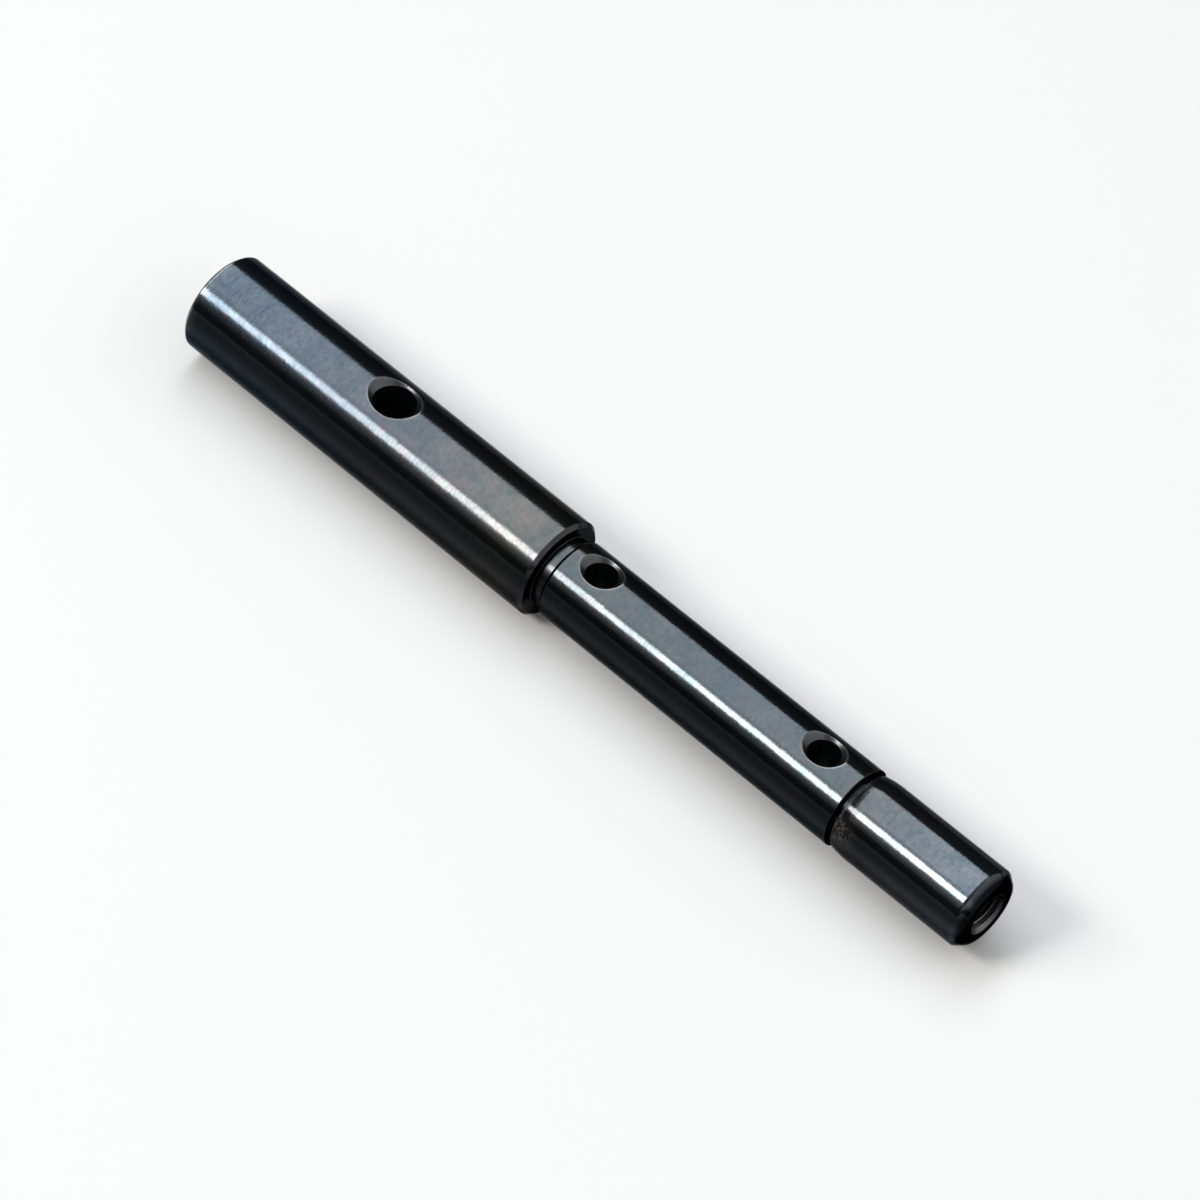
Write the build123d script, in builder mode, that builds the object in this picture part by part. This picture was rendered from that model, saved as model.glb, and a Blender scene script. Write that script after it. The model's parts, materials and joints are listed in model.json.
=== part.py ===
# Stepped shaft, turned from one bar of steel and blackened.
# The turning axis lies along X: the plain thick end has its centre at the origin
# and the tapped thin end points to +X. The three cross-holes run along Z.
# All sizes are in millimetres.
import math
import os

from build123d import *

os.makedirs("parts", exist_ok=True)

# thick section
thick_diameter = 10.0
thick_length = 42.6             # plain end face to shoulder face
plain_end_chamfer = 0.25
shoulder_chamfer = 0.35

# relief groove that lets a gear or bearing sit flat against the shoulder
relief_width = 1.1
relief_diameter = 7.2

# seat between the two grooves
seat_diameter = 8.0
seat_length = 34.3
seat_chamfer = 0.35

# narrow groove that parts the seat from the journal
groove_width = 0.5
groove_diameter = 6.8

# journal at the tapped end, eased down towards the narrow groove by a shallow arc
journal_diameter = 8.0
journal_length = 14.7
lead_in_length = 1.8
lead_in_depth = 0.2
tip_chamfer_length = 0.9
tip_chamfer_depth = 0.7

# cross-holes, all square to the axis, parallel to each other and countersunk at both mouths
thick_hole_diameter = 4.0
thick_hole_rim_diameter = 5.45  # of the countersink, along the shaft
thick_hole_from_end = 21.45
seat_hole_diameter = 3.0
seat_hole_rim_diameter = 4.35
seat_hole_from_shoulder = 4.6
seat_hole_from_groove = 4.4

# hole in the tip, drilled for a coarse 4 mm thread
thread_diameter = 4.0
thread_pitch = 0.7
drill_depth = 11.0
drill_point_angle = 118
tip_rim = 0.05                  # the tip's countersink stands this far outside the thread

# places along the axis
relief_end = thick_length + relief_width
seat_end = relief_end + seat_length
journal_start = seat_end + groove_width
total_length = journal_start + journal_length
seat_hole_1 = thick_length + seat_hole_from_shoulder
seat_hole_2 = seat_end - seat_hole_from_groove

# radii
thick_radius = thick_diameter / 2
relief_radius = relief_diameter / 2
seat_radius = seat_diameter / 2
groove_radius = groove_diameter / 2
journal_radius = journal_diameter / 2
lead_in_radius = journal_radius - lead_in_depth
drill_radius = (thread_diameter - thread_pitch) / 2
tip_rim_radius = thread_diameter / 2 + tip_rim


def countersunk_hole(place, surface_radius, hole_diameter, rim_diameter):
    """A hole along Z right through the shaft, countersunk at its top and bottom mouths."""
    mouths = Location((place, 0, surface_radius)), Location((place, 0, -surface_radius), (180, 0, 0))
    with Locations(*mouths):
        CounterSinkHole(hole_diameter / 2, rim_diameter / 2, counter_sink_angle=90)


def outer_rim(part, step):
    """The widest circle at one step of the outline, counted from the plain end."""
    circles = part.edges().filter_by(GeomType.CIRCLE).group_by(Axis.X)
    return circles[step].sort_by(SortBy.RADIUS)[-1]


with BuildPart() as stepped_shaft:
    # turned blank: half of its section, spun round the axis
    with BuildSketch(Plane.XZ):
        with BuildLine():
            Polyline(
                (journal_start, lead_in_radius),
                (journal_start, groove_radius),
                (seat_end, groove_radius),
                (seat_end, seat_radius),
                (relief_end, seat_radius),
                (relief_end, relief_radius),
                (thick_length, relief_radius),
                (thick_length, thick_radius),
                (0, thick_radius),
                (0, 0),
                (total_length, 0),
                (total_length, journal_radius - tip_chamfer_depth),
                (total_length - tip_chamfer_length, journal_radius),
                (journal_start + lead_in_length, journal_radius),
            )
            TangentArc(
                (journal_start + lead_in_length, journal_radius),
                (journal_start, lead_in_radius),
                tangent=(-1, 0),
            )
        make_face()
    revolve(axis=Axis.X)

    # broken corners, from the seat back so that the step count stays true
    chamfer(outer_rim(stepped_shaft, 2), seat_chamfer)
    chamfer(outer_rim(stepped_shaft, 1), shoulder_chamfer)
    chamfer(outer_rim(stepped_shaft, 0), plain_end_chamfer)

    # tapped hole: countersink, drilled bore and the drill's own point
    countersink_depth = tip_rim_radius - drill_radius
    point_length = drill_radius / math.tan(math.radians(drill_point_angle / 2))
    with BuildSketch(Plane.XZ):
        with BuildLine():
            Polyline(
                (total_length, 0),
                (total_length, tip_rim_radius),
                (total_length - countersink_depth, drill_radius),
                (total_length - drill_depth, drill_radius),
                (total_length - drill_depth - point_length, 0),
                close=True,
            )
        make_face()
    revolve(axis=Axis.X, mode=Mode.SUBTRACT)

    # cross-holes
    countersunk_hole(thick_hole_from_end, thick_radius, thick_hole_diameter, thick_hole_rim_diameter)
    for place in (seat_hole_1, seat_hole_2):
        countersunk_hole(place, seat_radius, seat_hole_diameter, seat_hole_rim_diameter)

stepped_shaft.part.label = "stepped_shaft"
export_step(stepped_shaft.part, "parts/stepped_shaft.step")
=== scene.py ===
import json
import math

import bmesh
import bpy
import numpy as np
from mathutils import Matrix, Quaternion, Vector


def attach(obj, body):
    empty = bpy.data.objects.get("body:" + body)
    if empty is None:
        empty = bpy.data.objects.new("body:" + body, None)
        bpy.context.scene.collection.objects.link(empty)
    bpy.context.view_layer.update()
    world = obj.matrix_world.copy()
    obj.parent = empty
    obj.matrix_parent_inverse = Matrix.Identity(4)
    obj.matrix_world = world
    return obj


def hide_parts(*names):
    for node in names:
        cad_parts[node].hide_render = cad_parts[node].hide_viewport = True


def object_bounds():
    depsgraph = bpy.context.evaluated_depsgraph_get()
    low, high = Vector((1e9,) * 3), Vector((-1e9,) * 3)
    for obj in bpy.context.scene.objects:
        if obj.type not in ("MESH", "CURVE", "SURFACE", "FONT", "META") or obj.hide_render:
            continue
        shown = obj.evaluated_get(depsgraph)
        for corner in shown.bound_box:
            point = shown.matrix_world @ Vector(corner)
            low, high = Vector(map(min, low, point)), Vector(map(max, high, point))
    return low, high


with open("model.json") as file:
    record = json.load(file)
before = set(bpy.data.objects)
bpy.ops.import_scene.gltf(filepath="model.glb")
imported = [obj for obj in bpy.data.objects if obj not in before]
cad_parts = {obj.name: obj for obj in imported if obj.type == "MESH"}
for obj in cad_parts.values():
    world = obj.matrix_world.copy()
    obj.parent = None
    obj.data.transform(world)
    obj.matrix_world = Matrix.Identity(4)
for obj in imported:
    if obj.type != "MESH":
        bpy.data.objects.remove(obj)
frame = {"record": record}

# The shaft's axis lies along X and its cross-holes along Z. Shapes are worked out
# in millimetres and scaled to metres when they become a mesh.
cadLow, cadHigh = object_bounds()
mount = {row["name"]: row for row in frame["record"]["mounts"]}
millimetre = 0.001
weldDistance = 0.000001       # points of a mesh this near become one
sameLength = 0.000001         # lengths in millimetres that differ by less are the same


def mountRadius(name):
    return mount[name]["dims"]["r_mm"]


def mountPlace(name):
    return mount[name]["pos_m"][0] / millimetre


shaft = {
    "sides": 144,             # points round the axis, a multiple of 8
    "faceRows": 6,            # rings of points on the plain end face
    "faceMargin": 0.2,        # bare stretch between the last of them and the chamfer
    "corner": 0.06,           # radius left on every turned corner
    "cornerSteps": 3,
    "tipCorners": (0.55, 0.65),  # the tip's own two corners are rounder
    "tipCornerSteps": 8,
    "loops": [0.03, 0.12],    # rows beside a corner, which keep the flat beside it flat
    "rowStep": 0.9,           # longest step between rows on a plain stretch
    "plainChamfer": 0.25,
    "shoulder": 42.6,
    "shoulderChamfer": 0.35,
    "reliefWidth": 1.1,
    "reliefRadius": 3.6,
    "seatChamfer": 0.35,
    "seatEnd": 78.0,
    "grooveWidth": 0.5,
    "grooveRadius": 3.4,
    "leadIn": 1.8,            # length of the arc that eases the journal towards the groove
    "leadInDepth": 0.2,
    "leadInSteps": 10,
    "leadInFirst": 2,         # the arc's rows before this one give way to a rounded corner
    "tipChamfer": 0.9,        # length along the axis
    "tipDrop": 0.7,           # how far the chamfer comes in
    "tipRim": 0.05,           # the tip's countersink stands this far outside the thread
    "mouthSlope": 0.2,        # how far down the countersink its outer corner looks
}
thread = {
    "radius": 2.0,            # outside radius of the screw it takes
    "pitch": 0.7,
    "length": 8.4,
    "runOut": 0.9,            # the last turns grow shallow over this length
    "start": 0.18,            # share of a turn by which the crest is shifted
    "flankAngle": 30,
    "flat": 1 / 8,            # width of the flat at the bottom of a turn, in pitches
    "rowsPerTurn": 14,
    "firstRow": 0.08,         # depth of the first row of points
    "fineRows": 0.2,          # the turns' close rows end this far behind the last turn
    "plainRows": 0.5,         # and the bare bore's wider rows begin this far behind it
    "plainStep": 0.4,
    "depth": 11.0,            # of the drilled bore, before its point
    "pointAngle": 118,
    "pointRows": [0.03, 0.1, 0.3, 0.6, 0.85, 1.0],
}
crossHoles = {
    # radius of the countersink along the shaft, and the plain margin kept round it
    "thick_cross_hole": {"rim": 2.725, "margin": 0.8},
    "seat_cross_hole_1": {"rim": 2.175, "margin": 0.7},
    "seat_cross_hole_2": {"rim": 2.175, "margin": 0.7},
}
holeGrid = {
    "soften": 0.07,           # rounding left on the two edges of a countersink
    "softenSteps": 5,
    "skinReach": 0.3,         # the skin's slope at a mouth is taken over this distance
    "rowsAcross": 26,
    "rings": [1.0, 0.8, 0.61, 0.43, 0.27, 0.14, 0.05],
    "coneRows": 6,
    "wallRows": 20,
    "wallEnds": (0.012, 0.988),  # extra rows, which keep the wall flat beside its edges
}

totalLength = cadHigh.x / millimetre
thickRadius = cadHigh.z / millimetre
seatRadius = mountRadius("gear_seat")
journalRadius = mountRadius("tip_journal")
drillRadius = mountRadius("tip_thread")


def spread(start, end, step):
    # even places from start to end, both included, no further apart than step
    count = max(1, math.ceil(abs(end - start) / step - 1e-9))
    return np.linspace(start, end, count + 1)


def roundedCorner(before, corner, after, radius, steps):
    # circle arc that meets both edges of a corner at a tangent, with two more
    # points beyond each end of it, as (x, r) rows
    before, corner, after = (np.asarray(p, float) for p in (before, corner, after))
    back = (before - corner) / np.linalg.norm(before - corner)
    ahead = (after - corner) / np.linalg.norm(after - corner)
    half = math.acos(np.clip(back @ ahead, -1, 1)) / 2
    reach = radius / math.tan(half)
    middle = corner + (back + ahead) / np.linalg.norm(back + ahead) * radius / math.sin(half)
    first = corner + back * reach - middle
    last = corner + ahead * reach - middle
    sweep = math.pi - 2 * half
    t = np.linspace(0, 1, steps + 1)[:, None]
    arc = (first * np.sin((1 - t) * sweep) + last * np.sin(t * sweep)) / math.sin(sweep)
    near, far = shaft["loops"]
    return np.vstack([
        corner + back * (reach + far),
        corner + back * (reach + near),
        middle + arc,
        corner + ahead * (reach + near),
        corner + ahead * (reach + far),
    ])


def holePatches():
    # centre, hole radius, countersink radius, shaft radius and half length of the
    # patch of skin at each cross-hole
    found = []
    for name, size in crossHoles.items():
        centre = mountPlace(name)
        skin = thickRadius if centre < shaft["shoulder"] else seatRadius
        found.append((centre, mountRadius(name), size["rim"], skin, size["rim"] + size["margin"]))
    return found


def outerOutline():
    # (x, r) rows of the outside, from the middle of the plain end to the tip's face
    s = shaft
    reliefEnd = s["shoulder"] + s["reliefWidth"]
    journalStart = s["seatEnd"] + s["grooveWidth"]
    corners = [
        (0, thickRadius - s["plainChamfer"]),
        (s["plainChamfer"], thickRadius),
        (s["shoulder"] - s["shoulderChamfer"], thickRadius),
        (s["shoulder"], thickRadius - s["shoulderChamfer"]),
        (s["shoulder"], s["reliefRadius"]),
        (reliefEnd, s["reliefRadius"]),
        (reliefEnd + s["seatChamfer"], seatRadius),
        (s["seatEnd"], seatRadius),
        (s["seatEnd"], s["grooveRadius"]),
        (journalStart, s["grooveRadius"]),
        (journalStart, journalRadius - s["leadInDepth"]),
    ]
    tip = [
        (totalLength - s["tipChamfer"], journalRadius),
        (totalLength, journalRadius - s["tipDrop"]),
        (totalLength, thread["radius"] + s["tipRim"]),
    ]
    # the lead-in is an arc, level with the journal where it meets it; its radius follows
    # from its length and rise, (length^2 + rise^2) / (2 rise)
    rise = s["leadInDepth"]
    arcRadius = (s["leadIn"] ** 2 + rise ** 2) / (2 * rise)
    turn = np.linspace(math.asin(s["leadIn"] / arcRadius), 0, s["leadInSteps"] + 1)
    leadIn = np.column_stack([
        journalStart + s["leadIn"] - arcRadius * np.sin(turn),
        journalRadius - arcRadius + arcRadius * np.cos(turn),
    ])[s["leadInFirst"]:]
    flow = [(0, 0)] + corners + [tuple(leadIn[0])]
    faceEdge = corners[0][1] - s["faceMargin"]
    pieces = [np.column_stack([np.zeros(s["faceRows"]), np.linspace(0, faceEdge, s["faceRows"])])]
    for i in range(1, len(flow) - 1):
        pieces.append(roundedCorner(flow[i - 1], flow[i], flow[i + 1], s["corner"], s["cornerSteps"]))
    pieces.append(leadIn)
    intoMouth = (totalLength - s["mouthSlope"], tip[-1][1] - s["mouthSlope"])
    flow = [tuple(leadIn[-1])] + tip + [intoMouth]
    for i in (1, 2):
        pieces.append(roundedCorner(flow[i - 1], flow[i], flow[i + 1],
                                    s["tipCorners"][i - 1], s["tipCornerSteps"]))
    mouth = roundedCorner(flow[2], flow[3], flow[4], s["corner"], s["cornerSteps"])
    pieces.append(mouth[:-1])
    return pieces


def withRows(pieces):
    # joins the outline's pieces, with rows between them no further apart than rowStep
    # and evenly spaced rows along every stretch that a cross-hole's patch takes up
    rows = [pieces[0]]
    for piece in pieces[1:]:
        (x0, r0), (x1, r1) = rows[-1][-1], piece[0]
        stops = [0.0, 1.0]
        counts = {}
        for centre, radius, rim, skin, half in holePatches():
            level = max(abs(r0 - skin), abs(r1 - skin)) < sameLength
            if level and x0 < centre < x1:
                ends = [(centre - half - x0) / (x1 - x0), (centre + half - x0) / (x1 - x0)]
                counts[round(ends[0], 9)] = holeGrid["rowsAcross"]
                stops += ends
        stops = np.unique(np.round(stops, 9))
        length = math.hypot(x1 - x0, r1 - r0)
        share = [np.zeros(1)]
        for a, b in zip(stops[:-1], stops[1:]):
            count = counts.get(a, max(1, math.ceil((b - a) * length / shaft["rowStep"])))
            share.append(np.linspace(a, b, count + 1)[1:])
        share = np.concatenate(share)[1:-1, None]
        rows.append(np.array([[x0, r0]]) * (1 - share) + np.array([[x1, r1]]) * share)
        rows.append(piece)
    return np.vstack([r for r in rows if len(r)])


def innerOutline():
    # (x, r) rows of the tapped hole, from its mouth to the point that the drill left
    slope = math.tan(math.radians(thread["pointAngle"] / 2))
    step = thread["pitch"] / thread["rowsPerTurn"]
    depth = np.concatenate([
        spread(thread["firstRow"], thread["length"] + thread["fineRows"], step),
        spread(thread["length"] + thread["plainRows"], thread["depth"], thread["plainStep"]),
    ])
    bore = np.column_stack([totalLength - depth, np.full(len(depth), drillRadius)])
    point = drillRadius / slope
    t = np.array(thread["pointRows"])
    cone = np.column_stack([
        totalLength - thread["depth"] - point * t,
        drillRadius * (1 - t),
    ])
    return np.vstack([bore, cone])


def threadedRadius(x, r, angle):
    # the tapped wall: the wider of the countersink cone and the thread's own wave,
    # a flat-topped triangle that climbs one pitch each turn and fades at its end
    depth = totalLength - x
    phase = (depth / thread["pitch"] + angle / (2 * math.pi) + thread["start"]) % 1.0
    deep = thread["radius"] - drillRadius
    flank = deep * math.tan(math.radians(thread["flankAngle"])) / thread["pitch"]
    wave = np.clip((flank + thread["flat"] / 2 - abs(phase - 0.5)) / flank, 0, 1)
    fade = np.clip((thread["length"] - depth) / thread["runOut"], 0, 1)
    cut = deep * wave * fade
    cone = thread["radius"] + shaft["tipRim"] - depth
    return np.where(depth < thread["depth"], np.maximum(r + cut, cone), r)


def gridFaces(rows, columns):
    # corner numbers of the squares of a grid stored row by row, each row a closed ring
    i = np.arange(rows - 1)[:, None]
    j = np.arange(columns)[None, :]
    k = (j + 1) % columns
    return np.stack([i * columns + j, i * columns + k,
                     (i + 1) * columns + k, (i + 1) * columns + j], -1)


def turnedSkin():
    # everything the lathe made: rows of the outline spun round the axis, with the
    # squares left out where a cross-hole's patch goes
    outside = withRows(outerOutline())
    inside = innerOutline()
    rows = np.vstack([outside, inside])
    angle = np.arange(shaft["sides"]) * 2 * math.pi / shaft["sides"]
    x, r = rows[:, :1], rows[:, 1:]
    wall = np.where(np.arange(len(rows))[:, None] >= len(outside),
                    threadedRadius(x, r, angle[None, :]), r)
    points = np.stack([
        np.broadcast_to(x, wall.shape),
        -wall * np.sin(angle),
        wall * np.cos(angle),
    ], -1)
    faces = gridFaces(len(rows), shaft["sides"])
    # a patch reaches an eighth of a turn either way from straight up and straight down
    middle = (np.arange(shaft["sides"]) + 0.5) * 2 * math.pi / shaft["sides"]
    nearHole = abs(np.cos(middle)) > math.cos(math.pi / 4)
    across = (x[:-1, 0] + x[1:, 0]) / 2
    keep = np.ones(faces.shape[:2], bool)
    for centre, radius, rim, skin, half in holePatches():
        rowsIn = (abs(across - centre) < half) & (np.arange(len(across)) < len(outside) - 1)
        keep &= ~(rowsIn[:, None] & nearHole[None, :])
    return points.reshape(-1, 3), faces[keep]


def softCorner(before, corner, after, reach):
    # a parabola (1-t)^2 a + 2t(1-t) corner + t^2 b, where a and b lie on the lines to
    # before and after, both reach away from corner
    def point(other):
        away = other - corner
        return corner + away * reach / np.linalg.norm(away, axis=-1, keepdims=True)

    t = np.linspace(0, 1, holeGrid["softenSteps"] + 1)[:, None, None]
    return (1 - t) ** 2 * point(before) + 2 * t * (1 - t) * corner + t ** 2 * point(after)


def holeSurface(centre, radius, rim, skin, half):
    # one cross-hole as a grid: a square patch of the shaft's skin drawn in to the
    # countersink's mouth, down its cone, down the wall and out the same way below; each
    # column keeps its bearing from the hole's axis
    quarter = shaft["sides"] // 8
    turn = np.arange(-quarter, quarter + 1) * 2 * math.pi / shaft["sides"]
    side = skin * np.sin(turn)
    along = np.linspace(-half, half, holeGrid["rowsAcross"] + 1)
    u = np.concatenate([np.full(len(side) - 1, -half), along[:-1],
                        np.full(len(side) - 1, half), along[:0:-1]])
    v = np.concatenate([side[:-1], np.full(len(along) - 1, side[-1]),
                        side[:0:-1], np.full(len(along) - 1, side[0])])
    bearing = np.arctan2(v, u)
    c, s = np.cos(bearing), np.sin(bearing)

    def skinAt(plan):
        return np.stack([plan * c, plan * s, np.sqrt(skin ** 2 - (plan * s) ** 2)], -1)

    # the cone z = skin - rim + plan meets the round skin z^2 + (plan s)^2 = skin^2
    base = skin - rim
    mouth = (np.sqrt(base ** 2 + (1 + s ** 2) * (skin ** 2 - base ** 2)) - base) / (1 + s ** 2)
    throat = np.stack([radius * c, radius * s, np.full(len(c), base + radius)], -1)
    middle = throat * np.array([1, 1, 0])
    outside = skinAt(mouth + holeGrid["skinReach"])
    edge = softCorner(outside, skinAt(mouth), throat, holeGrid["soften"])
    lip = np.hypot(edge[0, :, 0], edge[0, :, 1])
    share = np.array(holeGrid["rings"])[:, None]
    ringV = lip * s + (v - lip * s) * share
    ringU = lip * c + (u - lip * c) * share
    skinRings = np.stack([ringU, ringV, np.sqrt(skin ** 2 - ringV ** 2)], -1)
    lower = softCorner(skinAt(mouth), throat, middle, holeGrid["soften"])
    t = np.linspace(0, 1, holeGrid["coneRows"] + 1)[1:-1, None, None]
    cone = edge[-1] * (1 - t) + lower[0] * t

    top = np.concatenate([skinRings, edge, cone, lower])
    flip = np.array([1, 1, -1])
    share = np.linspace(0, 1, holeGrid["wallRows"] + 1)[1:-1]
    first, last = holeGrid["wallEnds"]
    share = np.concatenate([[first], share, [last]])[:, None, None]
    wall = top[-1] * (1 - share) + top[-1] * flip * share
    points = np.concatenate([top, wall, top[::-1] * flip])
    points[..., 0] += centre
    faces = gridFaces(len(points), len(u))
    return points.reshape(-1, 3), faces.reshape(-1, 4)


def makeMesh(name, parts):
    # joins point and face arrays, welds the seams and turns every face outwards
    points = np.vstack([p for p, _ in parts]) * millimetre
    start = np.cumsum([0] + [len(p) for p, _ in parts[:-1]])
    faces = np.vstack([f + n for (_, f), n in zip(parts, start)])
    mesh = bpy.data.meshes.new(name)
    mesh.from_pydata(points, [], faces.tolist())
    work = bmesh.new()
    work.from_mesh(mesh)
    bmesh.ops.remove_doubles(work, verts=work.verts, dist=weldDistance)
    bmesh.ops.recalc_face_normals(work, faces=work.faces)
    work.to_mesh(mesh)
    work.free()
    mesh.validate()
    mesh.polygons.foreach_set("use_smooth", np.ones(len(mesh.polygons), bool))
    piece = bpy.data.objects.new(name, mesh)
    bpy.context.scene.collection.objects.link(piece)
    return piece


def vertexArray(mesh):
    flat = np.zeros(len(mesh.vertices) * 3, np.float32)
    mesh.vertices.foreach_get("co", flat)
    return flat.reshape(-1, 3).astype(float) / millimetre


def setAttribute(mesh, name, values):
    attribute = mesh.attributes.new(name, "FLOAT", "POINT")
    attribute.data.foreach_set("value", values.astype(np.float32))


steel = {
    # how the oxide's colour and its roughness change along the shaft; the painted shading below is
    # multiplied into this colour
    "oxide": [
        (0.0, (0.0450, 0.0580, 0.0740, 0.13)),
        (10.0, (0.0455, 0.0570, 0.0695, 0.13)),
        (22.0, (0.0435, 0.0502, 0.0582, 0.13)),
        (40.0, (0.0543, 0.0554, 0.0530, 0.13)),
        (43.5, (0.0405, 0.0458, 0.0478, 0.12)),
        (62.0, (0.0380, 0.0455, 0.0515, 0.11)),
        (78.0, (0.0425, 0.0495, 0.0535, 0.11)),
        (80.0, (0.0500, 0.0545, 0.0580, 0.10)),
        (92.0, (0.0595, 0.0710, 0.0825, 0.10)),
    ],
    # painted shade and painted reflection: how much of that colour is left round the axis, by the
    # angle from straight up towards the front; darker on the front side, which dims its reflection of
    # the floor, and lighter further under, which brightens it
    "round": [
        (-180, 1.0), (48, 1.0), (56, 0.75), (63, 0.33), (68, 0.15), (72, 0.16), (76, 0.22),
        (80, 0.33), (86, 0.55), (97, 0.58), (104, 1.0), (110, 1.65), (125, 1.65), (150, 1.0),
        (180, 1.0),
    ],
    "tipFace": 0.07,          # painted shade: how much is left on the tip's face, which darkens its reflection
    "tipFade": (0.46, 0.7),   # distances from the face over which the painted shade fades out
    "groove": 0.12,           # painted shade: how much is left in the narrow groove
    # colour of steel that was cut but not ground, and how much of it is left in the
    # tapped hole by the same angle, as painted light and shade
    "sunk": (0.10, 0.10, 0.104, 1),
    "tapRound": [
        (-180, 1.7), (-165, 1.4), (-143, 0.85), (-108, 0.25), (-75, 0.08), (80, 0.2),
        (130, 0.8), (160, 1.3), (180, 1.7),
    ],
    "warmTint": (1.10, 1.0, 0.93, 1),
    "flecks": ((0.94, 1.015, 1.01, 1), (1.06, 0.98, 1.04, 1)),
    "dark": (0.012, 0.016, 0.018, 1),
    "bare": (0.30, 0.30, 0.29, 1),
    "rust": (0.12, 0.10, 0.085, 1),
    "edgeTint": (0.38, 0.38, 0.38, 1),
    # how strongly these colours show at most
    "sunkShare": 0.8,
    "darkShare": 0.35,
    "rustShare": 0.8,
    # each noise: how fine it is, in turns over a metre, and its detail
    "noise": {
        "patches": (430, 3.0), "mottle": (2300, 3.0), "rings": (700, 2.0),
        "flecks": (1300, 2.0), "specks": (3400, 2.0), "rubbing": (1500, 2.0),
        "ripples": (3600, 1.0), "waves": (420, 1.0), "pits": (5200, 3.0),
    },
    # what a noise is multiplied by and what is then taken off, which leaves patches
    "contrast": {
        "patches": (2.4, 0.8), "flecks": (4.0, 1.5), "worn": (4.0, 1.5), "specks": (5.0, 2.1),
    },
    "ringStretch": (7.0, 1, 1),
    "rippleStretch": (1, 0.5, 0.5),
    "wornFrom": (0.4, 0.4, 0.2),  # the shares of the patches, the mottle and the rings
    "rubbing": (0.4, 0.9),    # how bare a corner is, and how much more by the noise
    # heights of the skin's unevenness, in bumpDepths; the last three are of the pits
    "height": {"ripples": 1.2, "waves": 2.2, "stain": 2.5, "enclosed": 1.2, "sunk": 0.8},
    "bumpDepth": 0.0000055,
    "roughnessDark": 0.05,    # what the darker mottles add
    "roughnessStain": 0.2,    # and the stain
    "roughnessSunk": 0.30,
    "roughnessInside": 0.34,
}
wear = {
    "plainEnd": (0.9, 1.0),   # how bare the plain end's two corners are, skin side first
    "edgeWidth": 0.09,        # how far bare metal shows either side of a turned corner
    "rimWidth": 0.10,         # the same round the mouths of the cross-holes
    "rimReach": 0.5,          # a rim's rubbing ends this far outside it
    "rimRub": (0.25, 0.5),    # how bare the rims are as wear, and how much more on the tip's side as a painted highlight
    "grooveInside": 0.25,     # how rough the grooves are, where a bore is 1
    "leadInPatch": 2.2,       # length of the rough stained stretch beside the groove
    "leadInDull": 0.4,        # and of the dull one all round
    # the stain lies only on the side turned down and to the front: the angles at which
    # it begins, is full, begins to fade and ends
    "stainTurn": (50, 62, 140, 170),
    "boreLength": 13,         # everything narrow this near the tip is the tapped bore
    "boreMargin": 0.15,
    "grooveDepth": 0.2,       # the relief's rough part begins this far below the seat
    "near": 0.01,             # what is closer than this counts as touching
    "cornerMargin": 0.05,     # and this much takes in a rounded corner
}


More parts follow.
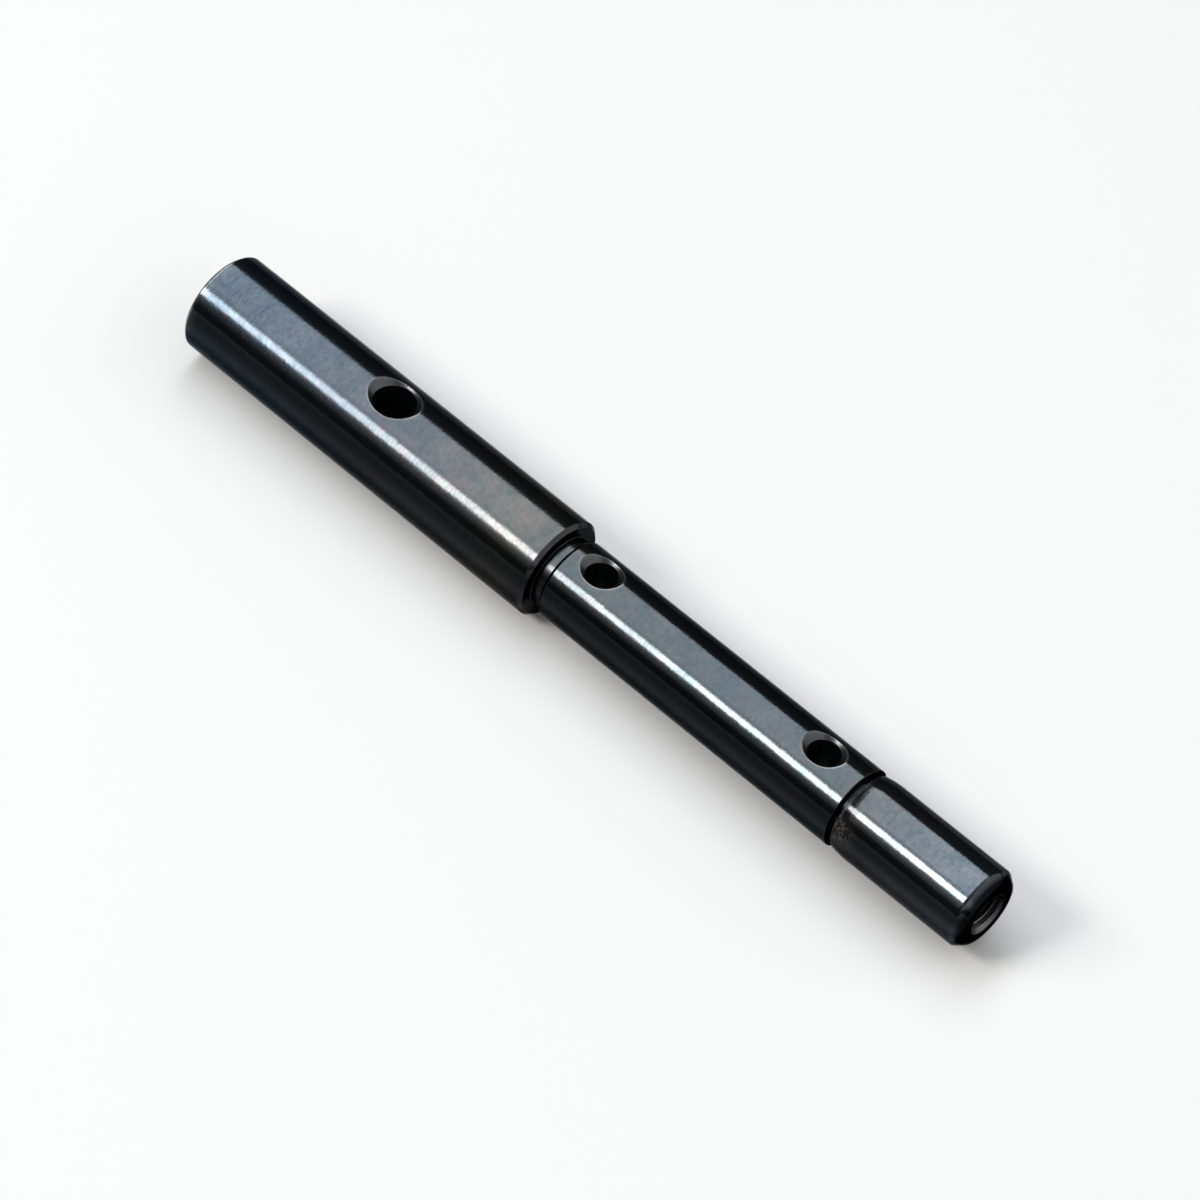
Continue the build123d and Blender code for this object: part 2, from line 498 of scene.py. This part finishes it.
def markWear(mesh):
    # edgeWear is 1 on a corner and falls off as a bell curve of the distance to it, and is raised
    # on the rims' tip side as a painted highlight; enclosed is 1 in the bores, thread and grooves;
    # stain is 1 beside the groove
    x, y, z = vertexArray(mesh).T
    r = np.hypot(y, z)
    s = shaft
    reliefEnd = s["shoulder"] + s["reliefWidth"]
    journalStart = s["seatEnd"] + s["grooveWidth"]
    turn = np.degrees(np.arctan2(-y, z))
    edge = np.zeros(len(x))
    plainCorners = [(s["plainChamfer"], thickRadius), (0, thickRadius - s["plainChamfer"])]
    for (cornerX, cornerR), amount in zip(plainCorners, wear["plainEnd"]):
        far = np.hypot(x - cornerX, r - cornerR)
        edge = np.maximum(edge, amount * np.exp(-((far / wear["edgeWidth"]) ** 2)))
    enclosed = np.zeros(len(x))
    sunk = np.zeros(len(x))
    least, more = wear["rimRub"]
    near, margin = wear["near"], wear["cornerMargin"]
    for centre, radius, rim, skin, half in holePatches():
        plan = np.hypot(x - centre, y)
        drop = abs(z) - (skin - rim + plan)
        onCone = (abs(drop) < 2 * near) & (plan < rim + 2 * near) & (plan > radius - 2 * near)
        sunk = np.where(onCone, 1, sunk)
        far = np.hypot(drop, r - skin)
        # the extra bareness on the rims' tip side is a painted highlight
        rubbedAndHighlit = least + more * np.clip((x - centre) / rim, 0, 1)
        rubbedAndHighlit *= plan < rim + wear["rimReach"]
        edge = np.maximum(edge, rubbedAndHighlit * np.exp(-((far / wear["rimWidth"]) ** 2)))
        enclosed = np.maximum(enclosed, np.where(plan < radius + near, 1, 0))
    inRelief = (x > s["shoulder"] - near) & (x < reliefEnd + near)
    groove = inRelief & (r < seatRadius - wear["grooveDepth"])
    inNarrow = (x > s["seatEnd"] - near) & (x < journalStart + margin)
    groove |= inNarrow & (r < seatRadius - margin)
    bore = (r < thread["radius"] + wear["boreMargin"]) & (x > totalLength - wear["boreLength"])
    inside = np.where(bore, 1, np.where(groove, wear["grooveInside"], 0))
    past = x - journalStart
    dull = (past > 0) * np.clip(1 - past / wear["leadInDull"], 0, 1)
    enclosed = np.maximum(np.maximum(enclosed, inside), dull)
    stain = np.clip(1 - past / wear["leadInPatch"], 0, 1) * (past > -margin)
    stain *= np.interp(turn, wear["stainTurn"], [0, 1, 1, 0])
    stain *= r > s["grooveRadius"] - 2 * margin

    places, colours = zip(*steel["oxide"])
    oxide = np.stack([np.interp(x, places, column) for column in np.transpose(colours)], -1)
    # painted shade and painted reflection by the angle round the axis; the plain end's face is all
    # one colour
    paintedShading = np.where(x < near, 1, np.interp(turn, *np.transpose(steel["round"])))
    # painted shade on the tip's face and its rounded edge
    tip = np.interp(totalLength - x, steel["tipFade"], [steel["tipFace"], 1])
    paintedShading = paintedShading * np.where(r > thread["radius"] + margin, tip, 1)
    # painted shade in the narrow groove
    narrow = (x > s["seatEnd"] - near) & (x < journalStart + near) & (r < seatRadius - s["corner"])
    paintedShading = np.where(narrow, steel["groove"], paintedShading)
    oxide[:, :3] *= paintedShading[:, None]
    # the tapped hole's wall was cut but never ground, and is painted lighter and darker round the
    # axis as painted light and shade
    tapped = bore & (x > totalLength - thread["length"])
    cut = np.interp(turn, *np.transpose(steel["tapRound"]))[:, None] * steel["sunk"][:3]
    oxide[:, :3] = np.where(tapped[:, None], cut, oxide[:, :3])
    setAttribute(mesh, "edgeWear", edge)
    setAttribute(mesh, "enclosed", enclosed)
    setAttribute(mesh, "sunk", sunk)
    setAttribute(mesh, "stain", stain)
    # the colour written here is the oxide's with the painted shade, painted reflection and painted
    # light multiplied in
    painted = mesh.attributes.new("oxide", "FLOAT_COLOR", "POINT")
    painted.data.foreach_set("color", oxide.astype(np.float32).ravel())


class Value:
    # wraps a number socket, so that arithmetic on it adds Math nodes
    def __init__(self, nodes, socket):
        self.nodes = nodes
        self.socket = socket

    def math(self, operation, first, second):
        made = self.nodes.add("ShaderNodeMath", {"operation": operation}, {0: first, 1: second})
        return self.nodes.value(made, "Value")

    def __add__(self, other):
        return self.math("ADD", self, other)

    def __radd__(self, other):
        return self.math("ADD", other, self)

    def __sub__(self, other):
        return self.math("SUBTRACT", self, other)

    def __rsub__(self, other):
        return self.math("SUBTRACT", other, self)

    def __mul__(self, other):
        return self.math("MULTIPLY", self, other)

    def __rmul__(self, other):
        return self.math("MULTIPLY", other, self)

    def clipped(self):
        made = self.nodes.add("ShaderNodeClamp", {}, {"Value": self})
        return self.nodes.value(made, "Result")


class Nodes:
    # the node tree of one material
    def __init__(self, name):
        self.material = bpy.data.materials.new(name)
        self.material.use_nodes = True
        self.tree = self.material.node_tree
        self.tree.nodes.clear()

    def add(self, kind, settings, inputs):
        # a new node: its settings first, then the values or links of its sockets
        node = self.tree.nodes.new(kind)
        for key, setting in settings.items():
            setattr(node, key, setting)
        for key, given in inputs.items():
            given = given.socket if isinstance(given, Value) else given
            if isinstance(given, bpy.types.NodeSocket):
                self.tree.links.new(given, node.inputs[key])
            else:
                node.inputs[key].default_value = given
        return node

    def value(self, node, output):
        return Value(self, node.outputs[output])

    def mixColour(self, factor, first, second, blend="MIX"):
        made = self.add("ShaderNodeMix", {"data_type": "RGBA", "blend_type": blend},
                        {"Factor": factor, 6: first, 7: second})
        return made.outputs[2]

    def noise(self, place, scale, detail):
        made = self.add("ShaderNodeTexNoise", {},
                        {"Vector": place, "Scale": scale, "Detail": detail})
        return self.value(made, "Fac")

    def stretched(self, place, scale):
        made = self.add("ShaderNodeVectorMath", {"operation": "MULTIPLY"}, {0: place, 1: scale})
        return made.outputs[0]

    def attribute(self, name):
        made = self.add("ShaderNodeAttribute", {"attribute_name": name}, {})
        return self.value(made, "Fac")

    def surface(self, shader):
        self.add("ShaderNodeOutputMaterial", {}, {"Surface": shader})
        return self.material


def blackenedSteel():
    nodes = Nodes("blackenedSteel")
    place = nodes.add("ShaderNodeTexCoord", {}, {}).outputs["Object"]
    edge = nodes.attribute("edgeWear")
    enclosed = nodes.attribute("enclosed")
    sunk = nodes.attribute("sunk")
    stain = nodes.attribute("stain")
    paint = nodes.add("ShaderNodeAttribute", {"attribute_name": "oxide"}, {})
    oxide = paint.outputs["Color"]

    def noise(name, where=place):
        return nodes.noise(where, *steel["noise"][name])

    def contrasted(value, name):
        gain, drop = steel["contrast"][name]
        return value * gain - drop

    # the oxide's own colour with its painted shading, warmer and cooler in small patches and finely
    # mottled
    patches = noise("patches")
    mottle = noise("mottle")
    rings = noise("rings", nodes.stretched(place, steel["ringStretch"]))
    warmer = nodes.mixColour(1.0, oxide, steel["warmTint"], "MULTIPLY")
    tone = nodes.mixColour(contrasted(patches, "patches").clipped(), oxide, warmer)
    tint = nodes.mixColour(contrasted(noise("flecks"), "flecks").clipped(), *steel["flecks"])
    tone = nodes.mixColour(1.0, tone, tint, "MULTIPLY")
    tone = nodes.mixColour(sunk * steel["sunkShare"], tone, steel["sunk"])
    byPatches, byMottle, byRings = steel["wornFrom"]
    worn = patches * byPatches + mottle * byMottle + rings * byRings
    worn = contrasted(worn, "worn").clipped()
    mottled = nodes.mixColour((1 - worn) * steel["darkShare"], tone, steel["dark"])

    # specks of brown on the stained stretch and bare metal along worn corners, and as a painted
    # highlight along the rims' tip side
    rusty = (stain * contrasted(noise("specks"), "specks")).clipped()
    stained = nodes.mixColour(rusty * steel["rustShare"], mottled, steel["rust"])
    least, more = steel["rubbing"]
    rubbedAndHighlit = (edge * (least + noise("rubbing") * more)).clipped()
    colour = nodes.mixColour(rubbedAndHighlit, stained, steel["bare"])

    # the ground skin: short ripples that make the reflections' edges uneven, long
    # waves under them, and pits where the steel is stained or was left as drilled
    tall = steel["height"]
    ripples = noise("ripples", nodes.stretched(place, steel["rippleStretch"]))
    waves = noise("waves")
    pits = noise("pits")
    height = (ripples * tall["ripples"] + waves * tall["waves"]
              + pits * (stain * tall["stain"] + enclosed * tall["enclosed"] + sunk * tall["sunk"]))
    bump = nodes.add("ShaderNodeBump", {}, {
        "Strength": 1.0, "Distance": steel["bumpDepth"], "Height": height,
    }).outputs["Normal"]

    ground = nodes.value(paint, "Alpha")
    rough = (ground + (1 - worn) * steel["roughnessDark"] + stain * steel["roughnessStain"]
             + sunk * (steel["roughnessSunk"] - ground)
             + enclosed * (steel["roughnessInside"] - ground))
    shader = nodes.add("ShaderNodeBsdfPrincipled", {}, {
        "Base Color": colour, "Metallic": 1.0, "Roughness": rough.clipped(),
        "Specular Tint": steel["edgeTint"], "Normal": bump,
    })
    return nodes.surface(shader.outputs[0])


parts = [turnedSkin()]
parts += [holeSurface(*patch) for patch in holePatches()]
shaftPiece = makeMesh("steppedShaft", parts)
markWear(shaftPiece.data)
shaftPiece.data.materials.append(blackenedSteel())
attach(shaftPiece, "root")
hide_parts("stepped_shaft")
print("shaft made:", len(shaftPiece.data.polygons), "faces")


stage = {
    "floorHalf": 3.0,
    "floorGap": 0.00001,      # the floor lies this far below the shaft
    "floorColour": (0.65, 0.637, 0.632, 1),
    "floorGlow": 0.01,        # lifts the floor to white in the view and in reflections
    "world": (0.115, 0.12, 0.125, 1),
}


def makeFloor():
    half = stage["floorHalf"]
    corners = np.array([(-1, -1), (1, -1), (1, 1), (-1, 1)]) * half
    low = cadLow.z - stage["floorGap"]
    mesh = bpy.data.meshes.new("floor")
    mesh.from_pydata([(x, y, low) for x, y in corners.tolist()], [], [(0, 1, 2, 3)])
    floor = bpy.data.objects.new("floor", mesh)
    bpy.context.scene.collection.objects.link(floor)
    nodes = Nodes("paleFloor")
    path = nodes.add("ShaderNodeLightPath", {}, {})
    seen = (nodes.value(path, "Is Camera Ray") + nodes.value(path, "Is Glossy Ray")
            + nodes.value(path, "Is Transmission Ray")).clipped()
    paint = nodes.add("ShaderNodeBsdfDiffuse", {}, {"Color": stage["floorColour"]})
    glow = nodes.add("ShaderNodeEmission", {}, {"Strength": seen * stage["floorGlow"]})
    both = nodes.add("ShaderNodeAddShader", {}, {0: paint.outputs[0], 1: glow.outputs[0]})
    mesh.materials.append(nodes.surface(both.outputs[0]))


makeFloor()
print("floor made")

world = bpy.data.worlds.new("studio")
world.use_nodes = True
world.node_tree.nodes["Background"].inputs["Color"].default_value = stage["world"]
bpy.context.scene.world = world

# soft boxes in a ring about the shaft's axis, each facing it: the angles of their edges
# from straight up, positive towards the camera, and the radiance of their faces
ring = {
    "away": 1.2,
    "boxes": [                # from, to, brightness, start and end along the axis, colour
        (-42.0, -18.0, 5.1, -0.68, -0.24, "cool"),
        (-18.0, 6.0, 5.1, -0.68, -0.24, "cool"),
        (6.0, 29.5, 5.1, -0.68, -0.24, "cool"),
        (29.5, 38.5, 3.8, -0.66, -0.36, "cool"),
        (29.5, 38.5, 2.8, -0.36, -0.24, "cool"),
        (40.0, 51.0, 17.0, -0.92, -0.68, "plain"),
        (38.5, 52.5, 17.2, -0.68, -0.473, "plain"),
        (38.5, 52.5, 28.4, -0.473, -0.24, "plain"),
        (52.5, 62.0, 0.9, -0.62, -0.24, "plain"),
        (62.0, 70.0, 0.5, -0.62, -0.24, "plain"),
        (-42.0, -7.0, 1.05, -0.24, 0.35, "cool"),
        (-7.0, 29.5, 1.05, -0.24, 0.35, "cool"),
        (29.5, 62.0, 0.5, -0.24, 0.35, "plain"),
    ],
    "cool": (0.92, 0.97, 1.0),
    "plain": (1.0, 1.0, 0.97),
}
# dim ones beyond the tip, which fill the shadow there
fills = [
    {"aim": (0.06, 0, 0), "towards": (0.81, 0.30, 0.54), "away": 0.5,
     "width": 1.1, "height": 0.66, "brightness": 0.95},
    {"aim": (0.06, 0, 0), "towards": (0.70, -0.60, 0.35), "away": 0.6,
     "width": 0.4, "height": 0.25, "brightness": 0.7},
]


def makeSoftBox(name, width, height, brightness, colour, place, turn):
    lamp = bpy.data.lights.new(name, "AREA")
    lamp.shape = "RECTANGLE"
    lamp.size = width
    lamp.size_y = height
    lamp.energy = brightness * math.pi * width * height
    lamp.color = colour
    thing = bpy.data.objects.new(name, lamp)
    thing.location = place
    thing.rotation_mode = "QUATERNION"
    thing.rotation_quaternion = turn
    bpy.context.scene.collection.objects.link(thing)


for number, (low, high, brightness, start, end, colour) in enumerate(ring["boxes"]):
    middle, half = math.radians((low + high) / 2), math.radians((high - low) / 2)
    place = ((start + end) / 2, -ring["away"] * math.sin(middle), ring["away"] * math.cos(middle))
    makeSoftBox("softBox%d" % number, end - start, 2 * ring["away"] * math.tan(half),
                brightness, ring[colour], place, Quaternion((1, 0, 0), middle))
for number, fill in enumerate(fills):
    towards = Vector(fill["towards"]).normalized()
    makeSoftBox("fill%d" % number, fill["width"], fill["height"], fill["brightness"], (1, 1, 1),
                Vector(fill["aim"]) + towards * fill["away"],
                (-towards).to_track_quat("-Z", "Y"))
print("lights made")

# where the camera looks and stands, in metres and degrees
view = {
    "target": (0.047338, 0.000312, 0.0),
    "distance": 0.49147,
    "azimuth": 34.38,
    "elevation": 47.32,
    "roll": 11.99,
    "lens": 167.78,
    "sensor": 36,
    "clip": (0.01, 20),
}
azimuth, elevation = math.radians(view["azimuth"]), math.radians(view["elevation"])
back = Vector((math.sin(azimuth) * math.cos(elevation),
               -math.cos(azimuth) * math.cos(elevation), math.sin(elevation)))
lens = bpy.data.cameras.new("camera")
lens.lens = view["lens"]
lens.sensor_width = view["sensor"]
lens.clip_start, lens.clip_end = view["clip"]
camera = bpy.data.objects.new("camera", lens)
camera.location = Vector(view["target"]) + back * view["distance"]
camera.rotation_mode = "QUATERNION"
roll = Quaternion(back, math.radians(view["roll"]))
camera.rotation_quaternion = roll @ (-back).to_track_quat("-Z", "Y")
bpy.context.scene.collection.objects.link(camera)
bpy.context.scene.camera = camera
bpy.context.scene.view_settings.view_transform = "Standard"
print("camera made")
